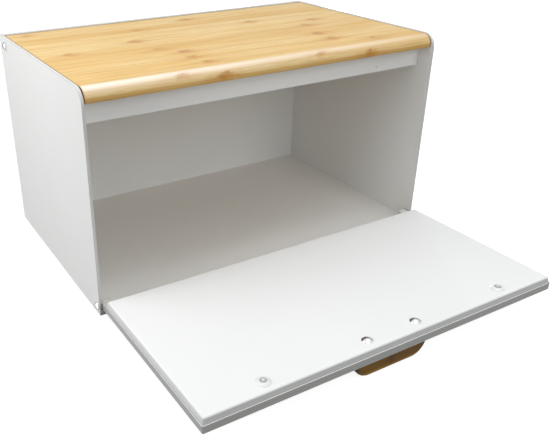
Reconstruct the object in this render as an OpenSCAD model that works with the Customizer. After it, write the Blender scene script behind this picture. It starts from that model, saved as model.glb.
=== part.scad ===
// Bread box: a painted sheet-steel case with a hinged bamboo lid and a drop-down
// double-skinned door, drawn with the door down and the lid shut.
// Box positions are measured from the case's front lower edge: X to the right from
// the middle, Y backwards, Z up. Door positions are measured from its hinge line.

/* [Case] */
// Width of the case, over the side panels
box_w = 360; // [300:5:440]
// Depth of the case, front edge to back
box_d = 220; // [190:5:280]
// Height of the case, without its feet
box_h = 199; // [170:1:240]
// Thickness of the case's sheet steel
sheet = 0.8; // [0.6:0.1:1]
// Radius of the side panels' upper front corner
corner_r = 13; // [8:1:16]
// Thickness of the side panels' folded front and top edges
hem_w = 2.4; // [2.2:0.1:2.8]
// Depth of those folded edges
hem_d = 3; // [2:0.5:4]
// Width of the flanges that join the panels
flange_w = 12; // [8:1:20]
// Depth of the flange along the back panel's top edge
top_flange = 5.4; // [4:0.2:6]
// Height of the lip along the floor's front edge
lip_h = 4.4; // [3:0.2:4.4]
// Gap in front of that lip
lip_setback = 0.3; // [0:0.1:0.5]

/* [Front rail] */
// Height of the rail's face
rail_h = 20; // [14:1:24]
// Depth of the rail's upper flange
rail_top_d = 14; // [12:1:20]
// Depth of the rail's lower return
rail_low_d = 7; // [4:1:10]
// Outer bend radius of the rail
rail_bend = 1.5; // [1:0.1:2]

/* [Feet] */
// Height of the case above the table
foot_h = 13; // [11:0.5:14]
// Radius of a foot at its top
foot_r = 9; // [7:0.5:12]
// How much narrower a foot is at its sole
foot_taper = 1.2; // [0:0.2:2]
// Distance of the feet's centres from the case's sides
foot_inset = 24; // [22:1:40]

/* [Lid] */
// Thickness of the bamboo board
lid_t = 12; // [10:0.5:12.5]
// Gap between the lid's ends and the folded edges
lid_side_gap = 1.2; // [0.6:0.1:2]
// Distance of the lid's face below the side panels' tops
lid_drop = 0.6; // [0.2:0.1:1]
// Distance of the lid's nose behind the case's front
lid_setback = 2; // [1:0.5:4]
// Gap between the lid and the back panel's flange
lid_back_gap = 1; // [0.8:0.1:2]
// Radius of the nose's upper edge
nose_r = 9.5; // [6:0.5:9.5]
// Radius of the board's other long edges
board_edge_r = 1.6; // [0.8:0.2:2]
// Distance of the lid's pivot from the case's back
lid_pivot_back = 16.6; // [15:0.2:20]
// Distance of the lid's pivot below the lid's face
lid_pivot_drop = 7.4; // [6.5:0.1:8]
// Height of the soft pads under the lid
pad_h = 0.9; // [0.5:0.1:1.5]
// Radius of those pads
pad_r = 5; // [3:0.5:5.5]
// Distance of the pads from the lid's ends
pad_inset = 36; // [30:1:100]

/* [Door] */
// Reach of the door from its hinge line to its free edge
door_reach = 177.9; // [150:0.1:177.9]
// Thickness of the door
door_t = 13; // [11:0.5:13]
// Thickness of the door's sheet steel
door_sheet = 0.6; // [0.5:0.1:0.8]
// Gap between the door's ends and the folded edges
door_side_gap = 0.4; // [0.3:0.1:1]
// Radius of the pans' edges and corners
pan_r = 1.5; // [1:0.1:2]
// How far the inner pan's walls lean in above the outer pan's rim
pan_lean = 0.9; // [0:0.1:1.2]
// Height of the outer pan's walls, with its face
outer_wall_h = 7.4; // [6.5:0.1:8]
// Distance of the inner pan from the hinge line
inner_start = 12.9; // [10:0.1:16]
// Gap between the two pans
pan_gap = 0.1; // [0.05:0.05:0.2]

/* [Door hinge] */
// Distance of the hinge line behind the case's front
hinge_y = 5.2; // [5:0.1:6]
// Height of the hinge line above the case's lower edge
hinge_z = 7.6; // [7.6:0.1:9]
// Distance of the hinge line from the door's outer face
face_offset = 2.8; // [2.6:0.1:3]
// Length of the skirt that hangs past the hinge line
skirt = 3.2; // [2:0.2:3.2]
// Radius of the hinge ears
ear_r = 3.8; // [3.2:0.1:4]
// Radius of the hinge pins
pin_r = 1.8; // [1.2:0.1:1.9]
// Width of the blocks that hold the pins
block_w = 8.5; // [6:0.5:14]
// Radius of the spacer washers
washer_r = 3.6; // [3:0.1:4]

/* [Handle] */
// Width of the handle
handle_w = 75; // [70:1:120]
// How far the handle stands out of the door
handle_out = 19; // [17:0.5:19]
// Thickness of the handle
handle_t = 7.6; // [7:0.2:12]
// Radius of the handle's outer corners
handle_corner = 15; // [8:0.5:15.5]
// Radius of the handle's edges
handle_edge = 1.5; // [0.8:0.1:2]
// Distance between the handle's screws
handle_pitch = 50; // [32:1:54]

/* [Fasteners and catches] */
// Distance of the screws and catches from the door's free edge
catch_inset = 11.8; // [9:0.2:16]
// Distance of the magnetic catches from the door's ends
catch_side = 56.2; // [30:0.2:90]
// Radius of a catch's soft cap
cap_r = 5.8; // [4:0.2:7]
// Height of a catch's soft cap
cap_h = 2.4; // [2.3:0.1:3]
// Radius of a catch's ring magnet
magnet_r = 2.9; // [2.2:0.1:3.2]
// Radius of the cap's post, which stands in the ring magnet
post_r = 1.1; // [0.8:0.1:1.3]
// Thickness of the cap under its magnet
cap_floor = 0.4; // [0.3:0.1:0.6]
// Distance of the magnet's face below the cap's top
magnet_sunk = 0.7; // [0.5:0.1:1]
// Radius of the pins' and lid screws' heads
head_r = 3.8; // [3:0.1:4.5]
// Height of the pins' and lid screws' heads
head_h = 2.2; // [1.6:0.1:3]
// Radius of the lid screws' shanks
lid_screw_r = 2; // [1.5:0.1:2.5]
// Length of the lid screws inside the lid
lid_screw_in = 16; // [10:1:24]
// Width of the cross recess in the lid screws
recess_w = 0.8; // [0.5:0.1:1.2]
// Depth of that recess
recess_d = 1.2; // [0.6:0.1:1.4]
// Radius of the handle screws' heads
handle_head_r = 4.5; // [3.5:0.1:5]
// Height of the handle screws' heads
handle_head_h = 2.1; // [1.4:0.1:2.1]
// Radius of the handle screws' shanks
handle_screw_r = 2; // [1.5:0.1:2.2]
// Length of the handle screws inside the handle
handle_screw_in = 12; // [8:0.5:13]
// Radius of the sleeves round the handle screws
sleeve_r = 4; // [3:0.1:5]

/* [Fits] */
// Radial clearance of a turning shank in its hole
run_gap = 0.08; // [0.03:0.01:0.1]
// Gap between parts that move past each other
move_gap = 0.3; // [0.2:0.05:0.4]
// Gap between the open door's handle and the table
table_gap = 0.3; // [0.2:0.05:0.5]
// Gap between the shut lid and its pads
lid_pad_gap = 0.1; // [0:0.05:0.2]

/* [Hidden] */
$fn = 48;

left = -1;
right = 1;
far = 1000;                                   // longer than any part
cut = 1;                                      // how far a cut runs past a face
soft_fn = 24;                                 // segments of a soft edge inside a hull

half_w = box_w / 2;
inner_half = half_w - sheet;                  // side panels' inner faces
hem_half = half_w - hem_w;                    // folded edges' inner faces
floor_top = 2 * sheet;                        // floor sheet lies on the side flanges
back_inner = box_d - 2 * sheet;               // back sheet lies against the rear flanges
lip_back = lip_setback + 2 * sheet;           // the lip is folded double
hem_start = hinge_z + washer_r + move_gap;    // the folded edge ends above the hinge

lid_half = hem_half - lid_side_gap;
lid_top = box_h - lid_drop;
lid_bottom = lid_top - lid_t;
lid_back = box_d - top_flange - lid_back_gap;
lid_pivot_y = box_d - lid_pivot_back;
lid_pivot_z = lid_top - lid_pivot_drop;

door_half = hem_half - door_side_gap;
outer_face = -face_offset;
outer_inside = outer_face + door_sheet;
outer_rim = outer_face + outer_wall_h;
inner_face = outer_face + door_t;
inner_inside = inner_face - door_sheet;
wall_inside = door_half - door_sheet;
inner_half_w = wall_inside - pan_gap;
bend_in = pan_r - door_sheet;                 // radius inside the pans' bends
inner_rim = outer_inside + bend_in;           // inner pan's walls end above the bend
block_half = wall_inside - bend_in;           // hinge blocks stand on the flat of the pan
catch_x = door_half - catch_side;
catch_y = catch_inset - door_reach;
pad_x = lid_half - pad_inset;

rail_y = hinge_y + inner_face + cap_h + move_gap;      // the shut door's catches just clear it
rail_top = lid_bottom - lid_pad_gap - pad_h;
rail_bottom = rail_top - rail_h;

// The open door slopes up a little, so that its handle just clears the table
handle_low = handle_out + face_offset;        // handle's end below the hinge line
handle_near = -catch_y - handle_t / 2;        // handle's near side in front of it
hinge_height = foot_h + hinge_z - table_gap;
open_tilt = atan(handle_low / handle_near) - asin(hinge_height / norm([handle_low, handle_near]));

// The frame's origin is midway between the open door's free edge and the case's back
open_front = hinge_y - door_reach * cos(open_tilt) - (face_offset - pan_r) * sin(open_tilt);
y_shift = -(open_front + box_d) / 2;

paint = [0.93, 0.93, 0.94];
bamboo = [0.86, 0.71, 0.45];
steel = [0.74, 0.75, 0.77];
nylon = [0.88, 0.88, 0.86];
rubber = [0.16, 0.16, 0.17];
silicone = [0.82, 0.84, 0.84];

// ---------------------------------------------------------------- frames and shapes

// From the case's front lower edge to the model's frame
module in_box() {
    translate([0, y_shift, foot_h]) children();
}

// From the hinge line to the model's frame, with the door open
module in_door() {
    in_box() translate([0, hinge_y, hinge_z]) rotate([-open_tilt, 0, 0]) children();
}

// Draws a left-hand part, or its mirror image on the right
module on_side(side) {
    mirror([side == right ? 1 : 0, 0, 0]) children();
}

// Runs a side view, drawn as (Y, Z), along X
module along_x(x0, x1) {
    translate([x0, 0, 0]) rotate([90, 0, 90]) linear_extrude(x1 - x0) children();
}

// A round bar along X
module bar_x(r, x0, x1) {
    translate([x0, 0, 0]) rotate([0, 90, 0]) cylinder(r = r, h = x1 - x0);
}

// Block between two corners
module block(low, high) {
    translate(low) cube(high - low);
}

// Quarter disc in the quadrant that (dx, dy) points into
module quarter(r, dx, dy) {
    intersection() {
        circle(r = r);
        translate([dx < 0 ? -r : 0, dy < 0 ? -r : 0]) square(r);
    }
}

// Slab with rounded upright corners and upper edges, whose walls lean in above lean_z
module soft_slab(half, y0, y1, z0, z1, r, lean_z, lean) {
    hull() for (side = [left, right], end = [left, right]) {
        x = side * (half - r);
        y = end == left ? y0 + r : y1 - r;
        translate([x, y, z0]) cylinder(r = r, h = lean_z - z0, $fn = soft_fn);
        translate([x - side * lean, y - end * lean, z1 - r]) rotate_extrude($fn = soft_fn)
            quarter(r, 1, 1, $fn = soft_fn);
    }
}

// Domed head whose flat underside lies at zero and faces down
module domed_head(r, h, rim) {
    sphere_r = (r * r + (h - rim) * (h - rim)) / (2 * (h - rim));
    rotate_extrude() {
        square([r, rim]);
        intersection() {
            translate([0, h - sphere_r]) circle(r = sphere_r, $fn = 96);
            translate([0, rim]) square([r, h - rim]);
        }
    }
}

// Cross-shaped drive recess in a head, as long as the head's radius
module cross_recess() {
    for (turn = [0, 90]) rotate([0, 0, turn]) block(
        [-head_r / 2, -recess_w / 2, head_h - recess_d],
        [head_r / 2, recess_w / 2, head_h + cut]);
}

// ---------------------------------------------------------------- case

// Side panel's outline, its front and top edges drawn in by an inset
module side_outline(inset) {
    translate([inset, 0]) square([box_d - inset, box_h - corner_r]);
    translate([corner_r, 0]) square([box_d - corner_r, box_h - inset]);
    translate([corner_r, box_h - corner_r]) circle(r = corner_r - inset);
}

module side_panel(side) {
    hem_end = box_d - 3 * sheet;
    color(paint) in_box() on_side(side) difference() {
        union() {
            along_x(-half_w, -inner_half) side_outline(0);
            along_x(-inner_half, -hem_half) difference() {
                side_outline(0);
                side_outline(hem_d);
                square([box_d, hem_start]);
                translate([hem_end, 0]) square([box_d, box_h + cut]);
            }
            block([-half_w, lip_back, 0], [-half_w + flange_w, box_d, sheet]);
            block([-half_w, box_d - sheet, 0], [-half_w + flange_w, box_d, box_h]);
        }
        translate([0, hinge_y, hinge_z]) bar_x(pin_r + run_gap, -half_w - cut, -inner_half + cut);
        translate([0, lid_pivot_y, lid_pivot_z])
            bar_x(lid_screw_r + run_gap, -half_w - cut, -inner_half + cut);
    }
}

module back_panel() {
    foot_half = half_w - flange_w;
    color(paint) in_box() {
        block([-inner_half, back_inner, sheet], [inner_half, box_d - sheet, box_h - hem_d]);
        block([-hem_half, back_inner, sheet], [hem_half, box_d - sheet, box_h]);
        block([-hem_half, box_d - top_flange, box_h - sheet], [hem_half, box_d - sheet, box_h]);
        block([-foot_half, back_inner, 0], [foot_half, box_d - sheet, 2 * sheet]);
        block([-foot_half, box_d - flange_w, 0], [foot_half, box_d - sheet, sheet]);
    }
}

module floor_panel() {
    color(paint) in_box() along_x(-inner_half, inner_half) {
        translate([lip_setback, sheet]) square([back_inner - lip_setback, sheet]);
        translate([lip_setback, 0]) square([2 * sheet, lip_h - sheet]);
        translate([lip_setback + sheet, lip_h - sheet]) circle(r = sheet);
    }
}

// C-shaped side view of the rail: face, upper flange and shorter lower return
module rail_profile() {
    inner_r = rail_bend - sheet;
    difference() {
        union() {
            translate([0, rail_bend]) square([rail_top_d, rail_h - 2 * rail_bend]);
            translate([rail_bend, 0]) square([rail_top_d - rail_bend, rail_h]);
            for (z = [rail_bend, rail_h - rail_bend]) translate([rail_bend, z]) circle(r = rail_bend);
        }
        translate([sheet, rail_bend]) square([rail_top_d, rail_h - 2 * rail_bend]);
        translate([rail_bend, sheet]) square([rail_top_d, rail_h - 2 * sheet]);
        for (z = [rail_bend, rail_h - rail_bend]) translate([rail_bend, z]) circle(r = inner_r);
        translate([rail_low_d, -cut]) square([rail_top_d, rail_h / 2]);
    }
}

module front_rail() {
    face_half = inner_half - sheet;
    color(paint) in_box() translate([0, rail_y, rail_bottom]) {
        along_x(-face_half, face_half) rail_profile();
        for (side = [left, right]) on_side(side) block(
            [-inner_half, sheet / 2, 2 * rail_bend],
            [-face_half, rail_top_d - rail_bend, rail_h - 2 * rail_bend]);
    }
}

module foot(side, y) {
    sole_r = foot_r - foot_taper;
    edge = 1.2;                               // rounding of the sole's rim
    well_r = foot_r / 2;                      // shallow well in the sole
    well_d = 1.5;
    top = foot_h + sheet;                     // reaches the floor sheet between the flanges
    color(rubber) translate([side * (half_w - foot_inset), y_shift + y, 0]) rotate_extrude() {
        difference() {
            union() {
                polygon([[0, edge], [sole_r, edge], [foot_r, top], [0, top]]);
                square([sole_r - edge, edge]);
                translate([sole_r - edge, edge]) quarter(edge, 1, -1);
            }
            translate([-cut, -cut]) square([well_r + cut, well_d + cut]);
        }
    }
}

// ---------------------------------------------------------------- lid

// Board's side view: a bullnose in front, eased edges elsewhere
module board_profile() {
    front = lid_setback;
    e = board_edge_r;
    translate([front + nose_r, lid_bottom]) square([lid_back - e - front - nose_r, lid_t]);
    translate([front + nose_r, lid_bottom + e]) square([lid_back - front - nose_r, lid_t - 2 * e]);
    translate([front, lid_bottom + e]) square([nose_r, lid_t - nose_r - e]);
    translate([front + e, lid_bottom]) square([nose_r - e, lid_t - nose_r]);
    translate([front + nose_r, lid_top - nose_r]) quarter(nose_r, -1, 1);
    translate([front + e, lid_bottom + e]) quarter(e, -1, -1);
    translate([lid_back - e, lid_bottom + e]) quarter(e, 1, -1);
    translate([lid_back - e, lid_top - e]) quarter(e, 1, 1);
}

module lid_board() {
    color(bamboo) in_box() difference() {
        along_x(-lid_half, lid_half) board_profile();
        for (side = [left, right]) on_side(side) translate([0, lid_pivot_y, lid_pivot_z])
            bar_x(lid_screw_r, -lid_half - cut, -lid_half + lid_screw_in);
    }
}

module lid_screw(side) {
    rim = 0.6;                                // straight rim of the head
    head_x = -half_w - move_gap;              // the head stands just off the panel
    color(steel) in_box() on_side(side) translate([0, lid_pivot_y, lid_pivot_z]) {
        translate([head_x, 0, 0]) rotate([0, -90, 0]) difference() {
            domed_head(head_r, head_h, rim);
            cross_recess();
        }
        bar_x(lid_screw_r, head_x, -lid_half + lid_screw_in);
    }
}

module lid_spacer(side) {
    outer_r = lid_pivot_drop + lid_drop - hem_d - move_gap;
    color(nylon) in_box() on_side(side) translate([0, lid_pivot_y, lid_pivot_z]) difference() {
        bar_x(outer_r, -inner_half + move_gap, -lid_half);
        bar_x(lid_screw_r, -half_w, 0);
    }
}

module lid_pad(side) {
    color(silicone) in_box() translate([side * pad_x, rail_y + rail_top_d / 2, rail_top])
        cylinder(r = pad_r, h = pad_h);
}

// ---------------------------------------------------------------- door

// What is cut off behind the hinge line: all but the round ears and the flat skirt
module hinge_end_cut() {
    difference() {
        translate([0, -far]) square([far, 2 * far]);
        circle(r = ear_r);
        translate([-cut, outer_face]) square([skirt + cut, door_sheet]);
    }
}

module door_outer_pan() {
    slab_end = skirt + 2 * ear_r;             // cut off behind the ears
    hollow_end = slab_end + 2 * pan_r;
    bend_z = -outer_face - pan_r;
    color(paint) in_door() difference() {
        mirror([0, 0, 1]) soft_slab(door_half, -door_reach, slab_end,
            -outer_rim, -outer_face, pan_r, bend_z, 0);
        mirror([0, 0, 1]) soft_slab(wall_inside, door_sheet - door_reach, hollow_end,
            -outer_rim - cut, -outer_inside, bend_in, bend_z, 0);
        along_x(-door_half - cut, door_half + cut) hinge_end_cut();
        for (side = [left, right]) on_side(side) bar_x(pin_r, -door_half - cut, -wall_inside + cut);
        handle_screw_holes();
    }
}

// Clearance holes for the handle's screws, through both pans
module handle_screw_holes() {
    for (x = [-handle_pitch / 2, handle_pitch / 2]) translate([x, catch_y, outer_face - cut])
        cylinder(r = handle_screw_r + run_gap, h = door_t + 2 * cut);
}

module door_inner_pan() {
    front = door_sheet + pan_gap - door_reach;
    color(paint) in_door() difference() {
        soft_slab(inner_half_w, front, -inner_start,
            inner_rim, inner_face, pan_r, outer_rim, pan_lean);
        soft_slab(inner_half_w - door_sheet, front + door_sheet, -inner_start - door_sheet,
            inner_rim - cut, inner_inside, bend_in, outer_rim, pan_lean);
        handle_screw_holes();
    }
}

module hinge_block(side) {
    block_front = pan_gap - inner_start;
    color(nylon) in_door() on_side(side) difference() {
        along_x(-block_half, block_w - block_half) intersection() {
            union() {
                circle(r = ear_r);
                translate([block_front, -ear_r]) square([-block_front, 2 * ear_r]);
            }
            translate([-far, outer_inside]) square([2 * far, far]);
        }
        bar_x(pin_r, -door_half, block_w - block_half + cut);
    }
}

module hinge_pin(side) {
    rim = 0.3;                                // straight rim of the head
    head_x = -half_w - move_gap;              // the head stands just off the panel
    color(steel) in_door() on_side(side) {
        translate([head_x, 0, 0]) rotate([0, -90, 0]) domed_head(head_r, head_h, rim);
        bar_x(pin_r, head_x, block_w - block_half);
    }
}

module hinge_washer(side) {
    color(nylon) in_door() on_side(side) difference() {
        bar_x(washer_r, -inner_half + move_gap, -door_half);
        bar_x(pin_r, -half_w, 0);
    }
}

// Handle's outline and soft edges: a tab with two round outer corners, flat at the door
module handle_body() {
    e = handle_edge;
    half = handle_w / 2;
    middle = handle_t / 2;
    corner_z = handle_corner - handle_out;
    difference() {
        hull() {
            for (x = [handle_corner - half, half - handle_corner]) translate([x, 0, corner_z])
                rotate([90, 0, 0]) rotate_extrude($fn = 32) for (flip = [0, 1]) mirror([0, flip]) {
                    square([handle_corner, middle - e]);
                    square([handle_corner - e, middle]);
                    translate([handle_corner - e, middle - e]) circle(r = e, $fn = 16);
                }
            for (x = [e - half, half - e], y = [e - middle, middle - e]) translate([x, y, corner_z])
                cylinder(r = e, h = -corner_z, $fn = 16);
        }
        block([-half - cut, -handle_t, 0], [half + cut, handle_t, handle_out]);
    }
}

module handle() {
    hole_over = 2;                            // the holes run on past the screws' tips
    color(bamboo) in_door() translate([0, catch_y, outer_face]) difference() {
        handle_body();
        for (x = [-handle_pitch / 2, handle_pitch / 2]) translate([x, 0, -handle_screw_in - hole_over])
            cylinder(r = handle_screw_r, h = handle_screw_in + hole_over + cut);
    }
}

module handle_screw(side) {
    rim = 0.3;                                // straight rim of the head
    length = door_t + handle_screw_in;
    color(steel) in_door() translate([side * handle_pitch / 2, catch_y, inner_face]) {
        domed_head(handle_head_r, handle_head_h, rim);
        translate([0, 0, -length]) cylinder(r = handle_screw_r, h = length);
    }
}

module handle_sleeve(side) {
    color(steel) in_door() translate([side * handle_pitch / 2, catch_y, outer_inside]) difference() {
        cylinder(r = sleeve_r, h = inner_inside - outer_inside);
        translate([0, 0, -cut])
            cylinder(r = handle_screw_r + run_gap, h = inner_inside - outer_inside + 2 * cut);
    }
}

module at_catch(side) {
    in_door() translate([side * catch_x, catch_y, inner_face]) children();
}

module catch_cap(side) {
    rim = 0.5;
    color(silicone) at_catch(side) difference() {
        domed_head(cap_r, cap_h, rim);
        translate([0, 0, cap_floor]) magnet_ring(cap_h);
    }
}

// Ring round the cap's post
module magnet_ring(h) {
    difference() {
        cylinder(r = magnet_r, h = h);
        translate([0, 0, -cut]) cylinder(r = post_r, h = h + 2 * cut);
    }
}

module catch_magnet(side) {
    color(steel) at_catch(side) translate([0, 0, cap_floor])
        magnet_ring(cap_h - magnet_sunk - cap_floor);
}

// ---------------------------------------------------------------- sub-parts

side_panel(left);  // left_side_panel
side_panel(right);  // right_side_panel
back_panel();
floor_panel();
front_rail();
foot(left, foot_inset);  // foot_front_left
foot(right, foot_inset);  // foot_front_right
foot(left, box_d - foot_inset);  // foot_rear_left
foot(right, box_d - foot_inset);  // foot_rear_right
lid_board();
lid_screw(left);  // lid_screw_left
lid_screw(right);  // lid_screw_right
lid_spacer(left);  // lid_spacer_left
lid_spacer(right);  // lid_spacer_right
lid_pad(left);  // lid_pad_left
lid_pad(right);  // lid_pad_right
door_outer_pan();
door_inner_pan();
hinge_block(left);  // hinge_block_left
hinge_block(right);  // hinge_block_right
hinge_pin(left);  // hinge_pin_left
hinge_pin(right);  // hinge_pin_right
hinge_washer(left);  // hinge_washer_left
hinge_washer(right);  // hinge_washer_right
handle();
handle_screw(left);  // handle_screw_left
handle_screw(right);  // handle_screw_right
handle_sleeve(left);  // handle_sleeve_left
handle_sleeve(right);  // handle_sleeve_right
catch_cap(left);  // catch_cap_left
catch_cap(right);  // catch_cap_right
catch_magnet(left);  // catch_magnet_left
catch_magnet(right);  // catch_magnet_right
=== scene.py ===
import math

import bpy
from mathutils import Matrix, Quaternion, Vector


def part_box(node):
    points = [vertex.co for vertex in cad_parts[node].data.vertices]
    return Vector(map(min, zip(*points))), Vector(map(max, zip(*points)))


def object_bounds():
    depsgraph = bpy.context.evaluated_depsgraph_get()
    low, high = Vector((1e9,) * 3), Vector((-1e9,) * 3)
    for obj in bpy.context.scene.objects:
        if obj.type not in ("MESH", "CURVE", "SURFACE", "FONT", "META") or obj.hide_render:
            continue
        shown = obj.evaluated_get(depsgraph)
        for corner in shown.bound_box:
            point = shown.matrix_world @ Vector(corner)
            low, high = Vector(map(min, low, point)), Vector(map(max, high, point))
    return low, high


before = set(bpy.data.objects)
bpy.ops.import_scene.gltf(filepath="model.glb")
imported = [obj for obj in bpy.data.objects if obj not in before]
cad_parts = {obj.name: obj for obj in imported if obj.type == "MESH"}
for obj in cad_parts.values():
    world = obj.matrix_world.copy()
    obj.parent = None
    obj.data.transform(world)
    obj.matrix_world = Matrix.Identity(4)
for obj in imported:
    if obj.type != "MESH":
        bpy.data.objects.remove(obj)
cad_low, cad_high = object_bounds()

MM = 0.001

# ---------------------------------------------------------------- camera
# The camera was fitted to the straight edges of the photograph. Its place is in
# metres and its angles are in degrees, in the frame of the CAD model. The sensor
# and the lens are in millimetres, and the shifts are shares of the image's width.
CAMERA_PLACE = Vector((-0.34561, -0.49979, 0.35704))
CAMERA_AZIMUTH = 29.744
CAMERA_DOWN = 27.111
CAMERA_ROLL = -0.365
SENSOR_WIDTH = 36.0
LENS = 45.53
SHIFT_RIGHT = 0.12284
SHIFT_UP = 0.00769

# ---------------------------------------------------------------- light
# Each lamp's place, the side of its square and its power in watts: one high on
# the right that draws the highlight along the lid's nose, one above the door, a
# wide one in front, a wide one on the left, a small one near the left panel and
# a low one behind, for the sides that the photograph doesn't show.
LAMPS = {
    "high_right": (Vector((0.34, -0.10, 1.25)), 0.5, 4.6),
    "above_door": (Vector((-0.10, -0.60, 1.20)), 0.9, 2.0),
    "front": (Vector((0.25, -1.30, 0.70)), 0.8, 4.6),
    "left": (Vector((-1.20, 0.05, 0.45)), 0.8, 5.8),
    "near_left": (Vector((-0.42, 0.12, 0.52)), 0.25, 0.8),
    "behind": (Vector((0.90, 1.15, 0.09)), 0.1, 9.0),
}
LAMP_TARGET = Vector((0.0, 0.0, 0.10))
LAMP_COLOUR = (1.0, 0.998, 0.99)
ROOM_COLOUR = (0.985, 0.995, 1.0)
ROOM_LEVEL = 0.40
BACKDROP_WHITE = (1.0, 1.0, 1.0)
BACKDROP_LEVEL = 1.0

# The floor is dark to the rays that light the object, so that it throws up
# little light, and glows nearly white where it is seen.
FLOOR_SIZE = 12.0
FLOOR_DROP = 0.1 * MM
FLOOR_SHADE = 0.06
FLOOR_SHOWN_SHADE = 0.35
FLOOR_SHOWN_GLOW = 0.90


# ---------------------------------------------------------------- node helpers
class Nodes:
    """The node tree of one material or world, with short calls that add and join nodes."""

    def __init__(self, tree):
        self.tree = tree
        tree.nodes.clear()

    def add(self, kind, **settings):
        node = self.tree.nodes.new(kind)
        for name, value in settings.items():
            setattr(node, name, value)
        return node

    def feed(self, socket, value):
        """Joins another node's socket to this one, or sets it to a plain value."""
        if isinstance(value, bpy.types.NodeSocket):
            self.tree.links.new(value, socket)
        else:
            socket.default_value = value

    def feed_named(self, node, **values):
        """Feeds a node's sockets by name, with _ for a space."""
        for name, value in values.items():
            self.feed(node.inputs[name.replace("_", " ")], value)

    def add_fed(self, kind, settings=None, **values):
        """Adds a node and feeds its sockets by name, with _ for a space."""
        node = self.add(kind, **(settings or {}))
        self.feed_named(node, **values)
        return node

    def math(self, operation, *values):
        node = self.add("ShaderNodeMath", operation=operation)
        for socket, value in zip(node.inputs, values):
            self.feed(socket, value)
        return node.outputs[0]

    def vector(self, operation, a, b):
        node = self.add("ShaderNodeVectorMath", operation=operation)
        self.feed(node.inputs[0], a)
        self.feed(node.inputs[1], b)
        return node.outputs["Value" if operation in ("LENGTH", "DOT_PRODUCT") else "Vector"]

    def length(self, vector):
        return self.vector("LENGTH", vector, (0.0, 0.0, 0.0))

    def scaled(self, coords, factors):
        """The coordinates times one factor for each axis."""
        return self.vector("MULTIPLY", coords, factors)

    def split(self, coords):
        return self.add_fed("ShaderNodeSeparateXYZ", Vector=coords).outputs

    def combined(self, **axes):
        return self.add_fed("ShaderNodeCombineXYZ", **axes).outputs[0]

    def noise(self, coords, scale, detail, rough=0.5):
        values = {"Vector": coords, "Scale": scale, "Detail": detail, "Roughness": rough}
        return self.add_fed("ShaderNodeTexNoise", **values).outputs["Fac"]

    def stretched_noise(self, coords, scales, detail, rough=0.5):
        """Noise with its own scale along each axis."""
        return self.noise(self.scaled(coords, scales), 1.0, detail, rough)

    def random(self, number):
        """A random value from 0 to 1 that stays the same for the same number."""
        settings = {"noise_dimensions": "1D"}
        return self.add_fed("ShaderNodeTexWhiteNoise", settings, W=number).outputs["Value"]

    def span(self, value, low, high, out_low=0.0, out_high=1.0, smooth=False):
        """Maps low..high to out_low..out_high, and holds the ends."""
        settings = {"interpolation_type": "SMOOTHSTEP" if smooth else "LINEAR"}
        node = self.add_fed("ShaderNodeMapRange", settings, Value=value)
        self.feed_named(node, From_Min=low, From_Max=high, To_Min=out_low, To_Max=out_high)
        return node.outputs["Result"]

    def blend(self, share, a, b):
        """Two colours, mixed by share."""
        node = self.add("ShaderNodeMix", data_type="RGBA")
        sockets = {s.identifier: s for s in node.inputs}
        self.feed(sockets["Factor_Float"], share)
        self.feed(sockets["A_Color"], a)
        self.feed(sockets["B_Color"], b)
        return {s.identifier: s for s in node.outputs}["Result_Color"]

    def bump(self, height, depth, strength, normal=None):
        node = self.add_fed("ShaderNodeBump", Height=height, Distance=depth, Strength=strength)
        if normal is not None:
            self.feed(node.inputs["Normal"], normal)
        return node.outputs["Normal"]


def rgba(colour):
    return (*colour, 1.0)


def new_material(name):
    material = bpy.data.materials.new(name)
    material.use_nodes = True
    nodes = Nodes(material.node_tree)
    coords = nodes.add("ShaderNodeTexCoord").outputs["Object"]
    shader = nodes.add("ShaderNodeBsdfPrincipled")
    output = nodes.add("ShaderNodeOutputMaterial")
    nodes.feed(output.inputs["Surface"], shader.outputs[0])
    return material, nodes, coords, shader


# Noise values mostly lie between these two.
NOISE_LOW = 0.3
NOISE_HIGH = 0.7

# ---------------------------------------------------------------- paint
# Noise scales are per metre, so a higher one is a finer grain.
PATCH_SCALE = 7.0
SPECK_SCALE = 900.0
SPECK_START = 0.62
SPECK_END = 0.8
SPECK_SHARE = 0.05
SPECK_COLOUR = (0.62, 0.62, 0.61)
SMEAR_SCALE = 22.0
SMEAR_STRETCH = (1.0, 1.0, 2.5)
SMEAR_END = 0.75
PAINT_ROUGHNESS = (0.40, 0.52)
PAINT_SPECULAR = 0.08
WAVE_SCALE = 420.0
WAVE_DEPTH = 0.02 * MM
PEEL_SCALE = 1900.0
PEEL_DEPTH = 0.006 * MM
PEEL_STRENGTH = 0.6

# The case's grey colour is for a chip on the rail, and for painted shade along the hems and the back
# panel's fold.
CASE_PAINT = {
    "light": (0.88, 0.885, 0.88),
    "dark": (0.86, 0.865, 0.855),
    "wear_and_shade_grey": (0.30, 0.30, 0.29),
}
# The door's white is a little darker and cooler than the case's: a shaded copy of the same paint that
# tones down the brightly lit open face. Its grey colour is painted shade for the folded rims.
DOOR_PAINT = {
    "light": (0.86, 0.872, 0.88),
    "dark": (0.84, 0.855, 0.865),
    "wear_and_shade_grey": (0.46, 0.465, 0.45),
}


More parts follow.
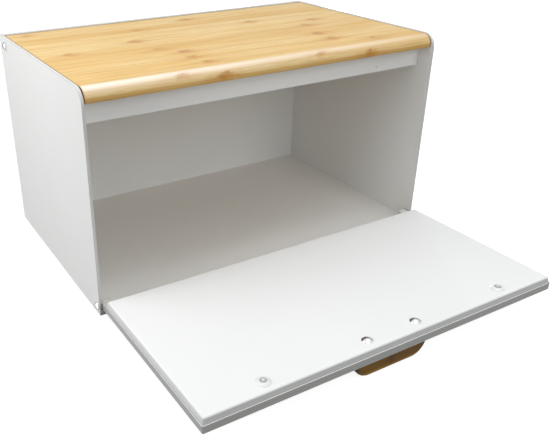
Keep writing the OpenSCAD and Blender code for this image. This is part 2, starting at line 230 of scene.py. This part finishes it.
def powder_coat(name, paint, wear_and_shade):
    """Satin white paint: faint tone patches, specks, orange peel and uneven gloss.

    A function gives the share of the paint's grey colour at each point: wear in places, painted shade
    in others.
    """
    material, nodes, coords, shader = new_material(name)
    patches = nodes.span(nodes.noise(coords, PATCH_SCALE, detail=3.0), NOISE_LOW, NOISE_HIGH)
    colour = nodes.blend(patches, rgba(paint["light"]), rgba(paint["dark"]))
    colour = nodes.blend(wear_and_shade(nodes, coords), colour, rgba(paint["wear_and_shade_grey"]))
    specks = nodes.noise(coords, SPECK_SCALE, detail=1.0)
    speckled = nodes.span(specks, SPECK_START, SPECK_END, 0.0, SPECK_SHARE)
    smears = nodes.noise(nodes.scaled(coords, SMEAR_STRETCH), SMEAR_SCALE, detail=5.0, rough=0.6)
    fine = nodes.noise(coords, PEEL_SCALE, detail=2.0)
    waves = nodes.noise(coords, WAVE_SCALE, detail=2.0)
    peel = nodes.bump(fine, PEEL_DEPTH, PEEL_STRENGTH)
    nodes.feed_named(
        shader,
        Base_Color=nodes.blend(speckled, colour, rgba(SPECK_COLOUR)),
        Roughness=nodes.span(smears, NOISE_LOW, SMEAR_END, *PAINT_ROUGHNESS),
        Normal=nodes.bump(waves, WAVE_DEPTH, PEEL_STRENGTH, peel),
        Specular_IOR_Level=PAINT_SPECULAR,
    )
    return material


# The case's coat is greyer at a chip on the rail, whose x and z are given. Along the side panels'
# hems and on the fold of the back panel the grey is painted shade, on rounded edges that turn away
# from the light. The hem's painted shade starts and is full at these distances inside the panel's
# outline.
CHIP_PLACE = (125 * MM, 184 * MM)
CHIP_RADIUS = 0.7 * MM
CHIP_CORE = 0.6
CORNER_RADIUS = 13 * MM
HEM_START = 0.8 * MM
HEM_FULL = 0.3 * MM
HEM_SHARE = 0.36
FOLD_WIDTH = 0.6 * MM
FOLD_SHARE = 0.4


def rail_chip(nodes, coords):
    chip_x, chip_z = CHIP_PLACE
    rail_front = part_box("front_rail")[0].y
    offset = nodes.vector("SUBTRACT", coords, (chip_x, rail_front, chip_z))
    return nodes.span(nodes.length(offset), CHIP_CORE * CHIP_RADIUS, CHIP_RADIUS, 1.0, 0.0)


def case_wear_and_shade(nodes, coords):
    """Where the case's coat is greyer: a chip on the rail, and painted shade along the hems and the
    rear fold.
    """
    _, y, z = nodes.split(coords)
    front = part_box("left_side_panel")[0]
    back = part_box("back_panel")[1]
    # The hems' painted shade follows the panels' top and front edges and the rounded corner between
    # them.
    forward = nodes.math("MAXIMUM", nodes.math("SUBTRACT", front.y + CORNER_RADIUS, y), 0.0)
    up = nodes.math("MAXIMUM", nodes.math("SUBTRACT", z, back.z - CORNER_RADIUS), 0.0)
    outward = nodes.length(nodes.combined(Y=forward, Z=up))
    hem = nodes.span(outward, CORNER_RADIUS - HEM_START, CORNER_RADIUS - HEM_FULL, 0.0, HEM_SHARE)
    # Painted shade along the back panel's top rear fold.
    behind = nodes.span(y, back.y - FOLD_WIDTH, back.y, 0.0, FOLD_SHARE)
    high = nodes.span(z, back.z - FOLD_WIDTH, back.z)
    fold = nodes.math("MULTIPLY", behind, high)
    return nodes.math("MAXIMUM", rail_chip(nodes, coords), nodes.math("MAXIMUM", hem, fold))


# The open door's face rises towards its free edge by this angle, in degrees.
# The starts, depths and ends below are measured down from that face.
DOOR_TILT = 0.53
# The door's rims are greyed with painted shade, from these depths down.
RIM_START = 0.9 * MM
RIM_SHARE = 0.68
RIM_END = 11.6 * MM
RIM_FADE = 0.4 * MM
# The inner pan's rim has this much less painted shade where it is further from the free edge.
FREE_EDGE_WIDTH = 1.5 * MM
SIDE_RIM_SHARE = 0.5
# The outer pan's edge, how far above it the painted shade starts, and the paler line along it, where
# less shade is painted.
OUTER_EDGE_DEPTH = 5.57 * MM
OUTER_RIM_RISE = 0.6 * MM
OUTER_EDGE_WIDTH = 0.15 * MM
OUTER_EDGE_SHARE = 0.3


def door_rim_shade(nodes, coords):
    """How much painted shade greys the door's folded rims, from its face down to the underside.

    The inner pan's rim is greyest along the free edge, where the front band lies in the deepest
    shade. The outer pan's rim is fully grey from just above its edge, and only that edge stays paler,
    where its ledge catches the light.
    """
    _, y, z = nodes.split(coords)
    low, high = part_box("door_inner_pan")
    from_free_edge = nodes.math("SUBTRACT", y, low.y)
    slope = math.tan(math.radians(DOOR_TILT))
    levelled = nodes.math("MULTIPLY_ADD", from_free_edge, slope, z)
    depth = nodes.math("SUBTRACT", high.z, levelled)
    inner_rim = nodes.span(depth, RIM_START, 2 * RIM_START, 0.0, RIM_SHARE)
    along_free_edge = nodes.span(from_free_edge, FREE_EDGE_WIDTH, 2 * FREE_EDGE_WIDTH, 1.0, SIDE_RIM_SHARE)
    above_edge = nodes.math("SUBTRACT", OUTER_EDGE_DEPTH, depth)
    outer_rim = nodes.span(above_edge, OUTER_RIM_RISE, 2 * OUTER_RIM_RISE, 1.0, 0.0)
    rims = nodes.math("MAXIMUM", nodes.math("MULTIPLY", inner_rim, along_free_edge), outer_rim)
    from_edge = nodes.math("ABSOLUTE", above_edge)
    paler_edge = nodes.span(from_edge, OUTER_EDGE_WIDTH, 2 * OUTER_EDGE_WIDTH, OUTER_EDGE_SHARE)
    before_end = nodes.span(depth, RIM_END, RIM_END + RIM_FADE, 1.0, 0.0)
    return nodes.math("MULTIPLY", rims, nodes.math("MULTIPLY", paler_edge, before_end))


# ---------------------------------------------------------------- bamboo
LID_LOW, LID_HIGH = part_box("lid_board")
STRIP_WIDTH = 20 * MM
LAYER_HEIGHT = 4 * MM
# The strips of one layer have running numbers, and each layer's start this much higher.
LAYER_STEP = 17.0
# The furthest that a strip's grain is moved along the strip, in metres.
STRIP_JUMP = 3.0
# How the fibres waver from side to side.
WAVER_SCALES = (6.0, 30.0, 30.0)
WAVER_WIDTH = 2.0 * MM
REGION_SCALE = 5.5
# Noise in the cane: its scales along and across the fibres, its detail and roughness.
FIBRES = {
    "broad": ((6.0, 75.0, 75.0), 3.0, 0.55),
    "streaks": ((16.0, 420.0, 420.0), 3.0, 0.6),
    "threads": ((60.0, 2400.0, 2400.0), 2.0, 0.6),
}
# What the tone of the cane is added up from.
BROAD_WEIGHT = 1.5
REGION_WEIGHT = 0.9
STRIP_WEIGHT = 0.85
TONE_BASE = -1.1
# The colours laid over the lightest one: what each follows, the values at which
# it starts and is full, how much of it shows at most, and its name.
TONE_LAYERS = (
    ("tone", 0.0, 0.5, 1.0, "middle"),
    ("tone", 0.45, 1.0, 0.9, "deep"),
    ("streaks", 0.46, 0.66, 0.85, "deep"),
    ("threads", 0.54, 0.74, 0.55, "fibre"),
)

# Colours of the cane from its palest strips to the brown of its joints.
PALE_CANE = {
    "light": (0.77, 0.565, 0.25),
    "middle": (0.74, 0.50, 0.18),
    "deep": (0.65, 0.385, 0.095),
    "joint": (0.52, 0.215, 0.025),
    "brown": (0.32, 0.125, 0.02),
    "fibre": (0.42, 0.225, 0.07),
}
# The handle's cane is dark brown, darkened further with painted shade from the open door above it.
SHADED_HANDLE_CANE = {
    "light": (0.46, 0.25, 0.035),
    "middle": (0.31, 0.16, 0.018),
    "deep": (0.17, 0.080, 0.012),
    "joint": (0.10, 0.042, 0.008),
    "brown": (0.035, 0.015, 0.004),
    "fibre": (0.12, 0.055, 0.010),
}

STRONG = 1.0
MEDIUM = 0.75
FAINT = 0.45
# The cane's joints in the lid's face: x and y in the frame in mm, then strength.
FACE_JOINTS = (
    (-158, 177, MEDIUM),
    (-148, 82, MEDIUM),
    (-78, 100, STRONG),
    (-55, 145, FAINT),
    (-72, 61, FAINT),
    (11, 167, STRONG),
    (-56, 42, STRONG),
    (-60, 21, MEDIUM),
    (-56, 0, MEDIUM),
    (63, 122, MEDIUM),
    (127, 98, MEDIUM),
    (103, 78, MEDIUM),
    (89, 40, STRONG),
    (87, 16, STRONG),
    (123, -3, FAINT),
)
# Those in the lid's nose: x and z in the frame in mm, then strength.
NOSE_JOINTS = (
    (-92, 209, FAINT),
    (-54, 204, STRONG),
    (47, 209, FAINT),
    (102, 203, STRONG),
)
# Half the size of a joint's mark along x, y and z. In the face it goes right through.
FACE_JOINT_SIZES = (9 * MM, 8 * MM, 30 * MM)
NOSE_JOINT_SIZES = (9 * MM, 9 * MM, 4 * MM)
HANDLE_JOINT_SIZES = (4.5 * MM, 9 * MM, 8 * MM)
# A mark is full and ends at these distances from its middle, in its half sizes.
MARK_FULL = 0.1
MARK_END = 1.1
MARK_RAGGED_SCALES = (150.0, 330.0, 330.0)
MARK_RAGGED_SHARE = 1.4
# The halo reaches further than the mark, most of all along the fibres.
HALO_SHRINK = (0.36, 0.85, 0.85)
# The brow lies on the side towards the back left and the top.
BROW_SIDE = (-0.45, 0.8, 0.5)
BROW_FULL = 0.5
HALO_SHARE = 0.45
BODY_SHARE = 0.85
BROW_SHARE = 0.95
FIBROUS_START = 0.35
FIBROUS_END = 0.6
FIBROUS_LEAST = 0.6

# Glue lines between the strips: half their width, in strips, and how much they show.
GLUE_WIDTH = 0.018
GLUE_SHARE = 0.2
# How far the cut ends are darkened, the share of that which is fully dark, and how dark it gets. The
# end grain is darker, and the darkening is also painted shade at the lid's ends beside the side
# panels and at the handle's ends under the door.
LID_END_SHADE_REACH = 0.7 * MM
HANDLE_END_SHADE_REACH = 6.0 * MM
END_SHADE_FULL = 0.3
END_GRAIN_AND_SHADE_SHARE = 0.85

# A painted highlight lies along the upper part of the lid's rounded nose. Distances are from the
# front, and the shares are at the left and right end.
NOSE_HIGHLIGHT_COLOUR = (0.95, 0.90, 0.81)
NOSE_HIGHLIGHT_START = -1.0 * MM
NOSE_HIGHLIGHT_MIDDLE = 6.0 * MM
NOSE_HIGHLIGHT_END = 12.0 * MM
NOSE_HIGHLIGHT_SHARES = (0.9, 0.3)

CANE_ROUGHNESS = (0.34, 0.46)
CANE_SPECULAR = 0.1
CANE_COAT_ROUGHNESS = 0.36
LID_COAT = 0.18
HANDLE_COAT = 0.0
LID_SEED = 3.0
HANDLE_SEED = 41.0
THREAD_DEPTH = 0.008 * MM
THREAD_STRENGTH = 0.5
STREAK_DEPTH = 0.03 * MM
STREAK_STRENGTH = 0.4


def lid_joints():
    """The lid's cane joints, as (middle, half sizes, strength)."""
    for x, y, strength in FACE_JOINTS:
        yield Vector((x * MM, y * MM, LID_HIGH.z)), FACE_JOINT_SIZES, strength
    for x, z, strength in NOSE_JOINTS:
        yield Vector((x * MM, LID_LOW.y, z * MM)), NOSE_JOINT_SIZES, strength


def joint_shares(nodes, coords, joints):
    """How much of a joint's halo, body and dark brow each point has."""
    ragged = nodes.stretched_noise(coords, MARK_RAGGED_SCALES, detail=3.0, rough=0.65)
    edge = nodes.math("MULTIPLY_ADD", ragged, MARK_RAGGED_SHARE, -0.5 * MARK_RAGGED_SHARE)

    def mark(reach, strength):
        distance = nodes.math("ADD", nodes.length(reach), edge)
        return nodes.span(distance, MARK_FULL, MARK_END, strength, 0.0, smooth=True)

    halo = 0.0
    body = 0.0
    brow = 0.0
    for middle, half_sizes, strength in joints:
        offset = nodes.vector("SUBTRACT", coords, middle)
        reach = nodes.scaled(offset, [1 / half for half in half_sizes])
        own_halo = mark(nodes.scaled(reach, HALO_SHRINK), strength)
        own_body = mark(reach, strength)
        sideways = nodes.vector("DOT_PRODUCT", reach, BROW_SIDE)
        own_brow = nodes.math("MULTIPLY", own_body, nodes.span(sideways, 0.0, BROW_FULL))
        halo = nodes.math("MAXIMUM", halo, own_halo)
        body = nodes.math("MAXIMUM", body, own_body)
        brow = nodes.math("MAXIMUM", brow, own_brow)
    return halo, body, brow


def strip_grain(nodes, coords, low, seed):
    """Each point's place across the strips, its strip's own tone and its grain coordinates."""
    x, y, z = nodes.split(coords)
    across = nodes.math("DIVIDE", nodes.math("SUBTRACT", y, low.y), STRIP_WIDTH)
    strip = nodes.math("FLOOR", across)
    height = nodes.math("DIVIDE", nodes.math("SUBTRACT", z, low.z), LAYER_HEIGHT)
    layer = nodes.math("FLOOR", height)
    number = nodes.math("ADD", nodes.math("MULTIPLY_ADD", layer, LAYER_STEP, strip), seed)
    own_tone = nodes.random(number)
    # Each strip's grain is its own, so its coordinates jump by a random step along x.
    step = nodes.math("MULTIPLY", own_tone, STRIP_JUMP)
    waver = nodes.stretched_noise(coords, WAVER_SCALES, detail=1.0)
    wavering = nodes.math("MULTIPLY_ADD", waver, WAVER_WIDTH, y)
    grain = nodes.combined(X=nodes.math("ADD", x, step), Y=wavering, Z=z)
    return across, own_tone, grain


def plain_cane(nodes, coords, own_tone, noises, colours):
    """The cane between its joints: broad tones with darker streaks and threads."""
    regions = nodes.noise(coords, REGION_SCALE, detail=1.0)
    tone = nodes.math("MULTIPLY_ADD", regions, REGION_WEIGHT, TONE_BASE)
    tone = nodes.math("MULTIPLY_ADD", noises["broad"], BROAD_WEIGHT, tone)
    tone = nodes.math("MULTIPLY_ADD", own_tone, STRIP_WEIGHT, tone)
    sources = {**noises, "tone": tone}
    colour = colours["light"]
    for source, start, full, most, key in TONE_LAYERS:
        share = nodes.span(sources[source], start, full, 0.0, most)
        colour = nodes.blend(share, colour, colours[key])
    return colour


def with_nose_highlight(nodes, coords, colour):
    """A painted highlight along the nose: most on the left, less to the right."""
    x, y, _ = nodes.split(coords)
    from_front = nodes.math("SUBTRACT", y, LID_LOW.y)
    rising = nodes.span(from_front, NOSE_HIGHLIGHT_START, NOSE_HIGHLIGHT_MIDDLE, smooth=True)
    falling = nodes.span(from_front, NOSE_HIGHLIGHT_MIDDLE, NOSE_HIGHLIGHT_END, 1.0, 0.0, smooth=True)
    along = nodes.span(x, LID_LOW.x, LID_HIGH.x, *NOSE_HIGHLIGHT_SHARES)
    share = nodes.math("MULTIPLY", nodes.math("MULTIPLY", rising, falling), along)
    return nodes.blend(share, colour, rgba(NOSE_HIGHLIGHT_COLOUR))


def with_joints(nodes, coords, joints, streaks, colour, colours):
    """Lays the joints over the cane. The fibres break up their bodies and brows."""
    halo, body, brow = joint_shares(nodes, coords, joints)
    colour = nodes.blend(nodes.math("MULTIPLY", halo, HALO_SHARE), colour, colours["joint"])
    fibrous = nodes.span(streaks, FIBROUS_START, FIBROUS_END, FIBROUS_LEAST, 1.0)
    for mark, most, key in ((body, BODY_SHARE, "joint"), (brow, BROW_SHARE, "brown")):
        share = nodes.math("MULTIPLY", mark, nodes.math("MULTIPLY", fibrous, most))
        colour = nodes.blend(share, colour, colours[key])
    return colour


def with_glue(nodes, across, colour, colours):
    """Draws the glue lines between the strips."""
    from_line = nodes.math("PINGPONG", across, 0.5)
    glue = nodes.span(from_line, 0.0, GLUE_WIDTH, 1.0, 0.0)
    return nodes.blend(nodes.math("MULTIPLY", glue, GLUE_SHARE), colour, colours["fibre"])


def with_dark_ends(nodes, coords, box, end_reach, colour, colours):
    """The cut ends are darker, as end grain and as painted shade, but the sanded faces stay light."""
    low, high = box
    x, _, z = nodes.split(coords)
    from_end = nodes.math("SUBTRACT", high.x, nodes.math("ABSOLUTE", x))
    dark_end = nodes.span(from_end, END_SHADE_FULL * end_reach, end_reach, END_GRAIN_AND_SHADE_SHARE, 0.0)
    from_top = nodes.math("SUBTRACT", high.z, z)
    from_face = nodes.math("MINIMUM", from_top, nodes.math("SUBTRACT", z, low.z))
    cut = nodes.span(nodes.math("ADD", from_face, 0.5 * LID_END_SHADE_REACH), 0.0, end_reach)
    return nodes.blend(nodes.math("MULTIPLY", dark_end, cut), colour, colours["brown"])


def bamboo(name, palette, joints, box, seed, coat, end_reach, rounded=False):
    """Laminated cane: strips along x with their own tones, fibres, joints and glue lines."""
    material, nodes, coords, shader = new_material(name)
    colours = {key: rgba(colour) for key, colour in palette.items()}
    across, own_tone, grain = strip_grain(nodes, coords, box[0], seed)
    noises = {key: nodes.stretched_noise(grain, *noise) for key, noise in FIBRES.items()}
    colour = plain_cane(nodes, coords, own_tone, noises, colours)
    # The rounded nose gets a painted highlight.
    if rounded:
        colour = with_nose_highlight(nodes, coords, colour)
    colour = with_joints(nodes, coords, joints, noises["streaks"], colour, colours)
    colour = with_glue(nodes, across, colour, colours)
    colour = with_dark_ends(nodes, coords, box, end_reach, colour, colours)
    pores = nodes.bump(noises["threads"], THREAD_DEPTH, THREAD_STRENGTH)
    nodes.feed_named(
        shader,
        Base_Color=colour,
        Roughness=nodes.span(noises["broad"], NOISE_LOW, NOISE_HIGH, *CANE_ROUGHNESS),
        Normal=nodes.bump(noises["streaks"], STREAK_DEPTH, STREAK_STRENGTH, pores),
        Specular_IOR_Level=CANE_SPECULAR,
        Coat_Weight=coat,
        Coat_Roughness=CANE_COAT_ROUGHNESS,
    )
    return material


def lid_bamboo():
    box = (LID_LOW, LID_HIGH)
    joints = list(lid_joints())
    return bamboo("lid_bamboo", PALE_CANE, joints, box, LID_SEED, LID_COAT, LID_END_SHADE_REACH, rounded=True)


def handle_bamboo():
    """The handle's cane is dark brown, and its colours are darker still with painted shade from the
    open door above it.
    """
    low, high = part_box("handle")
    joint = (Vector((0.0, low.y, (low.z + high.z) / 2)), HANDLE_JOINT_SIZES, STRONG)
    box = (low, high)
    return bamboo("handle_bamboo", SHADED_HANDLE_CANE, [joint], box, HANDLE_SEED, HANDLE_COAT, HANDLE_END_SHADE_REACH)


# ---------------------------------------------------------------- metal and mouldings
STEEL = {"tone": (0.78, 0.79, 0.80), "roughness": (0.16, 0.28)}
MAGNET = {"tone": (0.62, 0.63, 0.64), "roughness": (0.35, 0.5)}
SPOT_SCALE = 700.0
SPOT_RANGE = (0.35, 0.75)
SPOT_TONE = 0.86
# Painted shade: the metal's rim turns dark between these two values of the layer weight's facing.
METAL_RIM_RANGE = (0.3, 0.75)
METAL_RIM_SHARE = 0.85
METAL_RIM_TONE = 0.15
TURNING_SCALES = (5000.0, 5000.0, 600.0)
TURNING_DEPTH = 0.002 * MM
TURNING_STRENGTH = 0.5

MOTTLE_SCALE = 130.0
GRAIN_STRENGTH = 0.6
NYLON = {
    "light": (0.80, 0.80, 0.77),
    "dark": (0.74, 0.74, 0.71),
    "roughness": (0.42, 0.56),
    "grain_scale": 1500.0,
    "grain_depth": 0.01 * MM,
}
RUBBER = {
    "light": (0.035, 0.035, 0.038),
    "dark": (0.055, 0.055, 0.058),
    "roughness": (0.6, 0.8),
    "grain_scale": 1100.0,
    "grain_depth": 0.03 * MM,
}
# Soft, milky silicone lets some light through.
SILICONE = {
    "light": (0.97, 0.98, 0.98),
    "dark": (0.92, 0.94, 0.94),
    "roughness": (0.28, 0.42),
    "grain_scale": 800.0,
    "grain_depth": 0.01 * MM,
    "Transmission_Weight": 0.2,
    "IOR": 1.41,
}


def polished_steel(name, tone, roughness):
    """Plated steel: clean gloss with faint turning marks, small dull spots and a rim darkened with
    painted shade.
    """
    material, nodes, coords, shader = new_material(name)
    spots = nodes.noise(coords, SPOT_SCALE, detail=3.0, rough=0.6)
    spotted = nodes.blend(spots, rgba(tone), rgba([c * SPOT_TONE for c in tone]))
    # Painted shade darkens the rim where the surface turns away from the view.
    turned_away = nodes.add("ShaderNodeLayerWeight").outputs["Facing"]
    rim = nodes.span(turned_away, *METAL_RIM_RANGE, 0.0, METAL_RIM_SHARE, smooth=True)
    turning = nodes.stretched_noise(coords, TURNING_SCALES, detail=1.0)
    nodes.feed_named(
        shader,
        Base_Color=nodes.blend(rim, spotted, rgba([c * METAL_RIM_TONE for c in tone])),
        Metallic=1.0,
        Roughness=nodes.span(spots, *SPOT_RANGE, *roughness),
        Normal=nodes.bump(turning, TURNING_DEPTH, TURNING_STRENGTH),
    )
    return material


def moulded(name, light, dark, roughness, grain_scale, grain_depth, **plain_values):
    """Moulded plastic or rubber: mottled tone with the fine grain of the mould."""
    material, nodes, coords, shader = new_material(name)
    mottle = nodes.noise(coords, MOTTLE_SCALE, detail=4.0, rough=0.6)
    mottled = nodes.span(mottle, NOISE_LOW, NOISE_HIGH)
    grain = nodes.noise(coords, grain_scale, detail=2.0)
    nodes.feed_named(
        shader,
        Base_Color=nodes.blend(mottled, rgba(light), rgba(dark)),
        Roughness=nodes.span(grain, NOISE_LOW, NOISE_HIGH, *roughness),
        Normal=nodes.bump(grain, grain_depth, GRAIN_STRENGTH),
        **plain_values,
    )
    return material


def dress_frame():
    """Gives every CAD node the detailed material of its finish."""
    finishes = {
        "case_paint": powder_coat("case_paint_coat", CASE_PAINT, case_wear_and_shade),
        "door_paint": powder_coat("door_paint_coat", DOOR_PAINT, door_rim_shade),
        "bamboo": lid_bamboo(),
        "steel": polished_steel("plated_steel", **STEEL),
        "magnet": polished_steel("magnet_plating", **MAGNET),
        "nylon": moulded("moulded_nylon", **NYLON),
        "rubber": moulded("foot_rubber", **RUBBER),
        "silicone": moulded("clear_silicone", **SILICONE),
    }
    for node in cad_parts.values():
        finish = finishes[node.data.materials[0].name.split(".")[0]]
        node.material_slots[0].material = finish
    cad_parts["handle"].material_slots[0].material = handle_bamboo()


# ---------------------------------------------------------------- studio
def shown_rays(nodes):
    """1 for rays that look at, mirror or pass through to the surroundings, 0 for those that light."""
    path = nodes.add("ShaderNodeLightPath").outputs
    mirrored = nodes.math("MAXIMUM", path["Is Glossy Ray"], path["Is Transmission Ray"])
    return nodes.math("MAXIMUM", path["Is Camera Ray"], mirrored)


def show_either(nodes, lighting, shown, output_kind):
    """Ends the tree with one shader for rays that light and another for those that show."""
    either = nodes.add("ShaderNodeMixShader")
    nodes.feed(either.inputs[0], shown_rays(nodes))
    nodes.feed(either.inputs[1], lighting.outputs[0])
    nodes.feed(either.inputs[2], shown.outputs[0])
    output = nodes.add(output_kind)
    nodes.feed(output.inputs["Surface"], either.outputs[0])


def floor_material():
    material = bpy.data.materials.new("floor_white")
    material.use_nodes = True
    nodes = Nodes(material.node_tree)
    lit = nodes.add_fed("ShaderNodeBsdfDiffuse", Color=rgba([FLOOR_SHADE] * 3))
    seen = nodes.add_fed("ShaderNodeBsdfDiffuse", Color=rgba([FLOOR_SHOWN_SHADE] * 3))
    glow = nodes.add_fed(
        "ShaderNodeEmission", Color=rgba(BACKDROP_WHITE), Strength=FLOOR_SHOWN_GLOW
    )
    bright = nodes.add("ShaderNodeAddShader")
    nodes.feed(bright.inputs[0], seen.outputs[0])
    nodes.feed(bright.inputs[1], glow.outputs[0])
    show_either(nodes, lit, bright, "ShaderNodeOutputMaterial")
    return material


def make_floor():
    half = FLOOR_SIZE / 2
    z = cad_low.z - FLOOR_DROP
    corners = [(-half, -half, z), (half, -half, z), (half, half, z), (-half, half, z)]
    mesh = bpy.data.meshes.new("floor")
    mesh.from_pydata(corners, [], [(0, 1, 2, 3)])
    mesh.materials.append(floor_material())
    floor = bpy.data.objects.new("floor", mesh)
    bpy.context.scene.collection.objects.link(floor)


def make_room():
    """A world that is white where it is seen and lights the object softly."""
    world = bpy.data.worlds.new("room")
    world.use_nodes = True
    nodes = Nodes(world.node_tree)
    light = nodes.add_fed("ShaderNodeBackground", Color=rgba(ROOM_COLOUR), Strength=ROOM_LEVEL)
    white = nodes.add_fed(
        "ShaderNodeBackground", Color=rgba(BACKDROP_WHITE), Strength=BACKDROP_LEVEL
    )
    show_either(nodes, light, white, "ShaderNodeOutputWorld")
    bpy.context.scene.world = world


def make_lamp(name, place, size, power):
    lamp = bpy.data.lights.new(name, "AREA")
    lamp.shape = "SQUARE"
    lamp.size = size
    lamp.energy = power
    lamp.color = LAMP_COLOUR
    holder = bpy.data.objects.new(name, lamp)
    holder.location = place
    holder.rotation_mode = "QUATERNION"
    holder.rotation_quaternion = (LAMP_TARGET - place).to_track_quat("-Z", "Y")
    bpy.context.scene.collection.objects.link(holder)


def make_camera():
    azimuth = math.radians(CAMERA_AZIMUTH)
    down = math.radians(CAMERA_DOWN)
    forward = Vector((
        math.sin(azimuth) * math.cos(down),
        math.cos(azimuth) * math.cos(down),
        -math.sin(down),
    ))
    roll = Quaternion((0.0, 0.0, 1.0), math.radians(CAMERA_ROLL))
    data = bpy.data.cameras.new("camera")
    data.sensor_width = SENSOR_WIDTH
    data.lens = LENS
    data.shift_x = SHIFT_RIGHT
    data.shift_y = SHIFT_UP
    camera = bpy.data.objects.new("camera", data)
    camera.location = CAMERA_PLACE
    camera.rotation_mode = "QUATERNION"
    camera.rotation_quaternion = forward.to_track_quat("-Z", "Y") @ roll
    bpy.context.scene.collection.objects.link(camera)
    bpy.context.scene.camera = camera


dress_frame()
make_floor()
make_room()
for lamp_name, (lamp_place, lamp_size, lamp_power) in LAMPS.items():
    make_lamp(lamp_name, lamp_place, lamp_size, lamp_power)
make_camera()
bpy.context.scene.view_settings.view_transform = "Standard"
